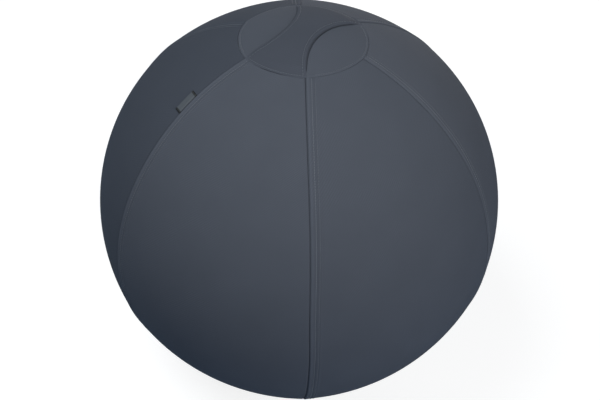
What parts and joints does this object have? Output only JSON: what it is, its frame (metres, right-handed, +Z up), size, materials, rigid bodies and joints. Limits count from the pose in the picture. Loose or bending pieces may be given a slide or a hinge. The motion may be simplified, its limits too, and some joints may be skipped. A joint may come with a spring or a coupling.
{
  "type": "sitting ball",
  "caption": "Inflated sitting ball in a knitted panelled cover with a carry strap, ballasted anti-slip base, base zip and a hidden valve.",
  "frame": {"origin": "centre of the anti-slip disc's underside, on the floor", "axes": "+Z up through the middle of the top panel, -Y towards the front seam, +X to the right of someone facing that seam"},
  "size_m": [0.6439, 0.65, 0.648],
  "materials": {
    "cover_knit": "fine dense knit, soft matte with a light sheen",
    "thread": "twisted polyester sewing thread",
    "woven_label": "dark grey woven label, bare, with black short ends",
    "grip_rubber": "matte anti-slip rubber",
    "zip_tape": "woven zip tape",
    "zip_coil": "nylon coil",
    "zip_metal": "dark lacquered metal",
    "ballast_cloth": "plain woven cloth",
    "sand": "dry quartz sand",
    "ball_vinyl": "soft satin vinyl",
    "plug_plastic": "moulded plastic"
  },
  "bodies": {
    "ball": {"panel_front_left": "cover_knit", "panel_front_right": "cover_knit", "panel_right": "cover_knit", "panel_back_right": "cover_knit", "panel_back_left": "cover_knit", "panel_left": "cover_knit", "top_panel": "cover_knit", "panel_seam_thread": "thread", "top_seam_thread": "thread", "side_label": "woven_label", "base_panel": "cover_knit", "base_seam_thread": "thread", "base_disc": "grip_rubber", "zip_tape_upper": "zip_tape", "zip_tape_lower": "zip_tape", "zip_coil_upper": "zip_coil", "zip_coil_lower": "zip_coil", "zip_stop_start": "zip_metal", "zip_stop_end": "zip_metal", "zip_guard": "cover_knit", "ballast_sleeve": "ballast_cloth", "ballast_fill": "sand", "inner_ball": "ball_vinyl", "valve_tube": "ball_vinyl"},
    "carry_strap": {"strap_top": "cover_knit", "strap_lining": "cover_knit", "strap_hem_thread": "thread"},
    "zip_slider": {"zip_slider": "zip_metal"},
    "zip_pull": {"zip_pull_tab": "zip_metal"},
    "valve_plug": {"valve_plug": "plug_plastic"}
  },
  "joints": [
    {"name": "strap_lift", "type": "slide", "parent": "ball", "child": "carry_strap", "axis": [0, 0, 1], "range_m": [0, 0.025]},
    {"name": "zip_run", "type": "hinge", "parent": "ball", "child": "zip_slider", "pos_m": [0, 0, 0.035], "axis": [0, 0, 1], "range_deg": [0, 180]},
    {"name": "pull_swing", "type": "hinge", "parent": "zip_slider", "child": "zip_pull", "pos_m": [0.15295, 0, 0.03234], "axis": [0.8829, 0, 0.4695], "range_deg": [-75, 75]},
    {"name": "plug_pull", "type": "slide", "parent": "ball", "child": "valve_plug", "axis": [0, 0, -1], "range_m": [0, 0.016]}
  ]
}
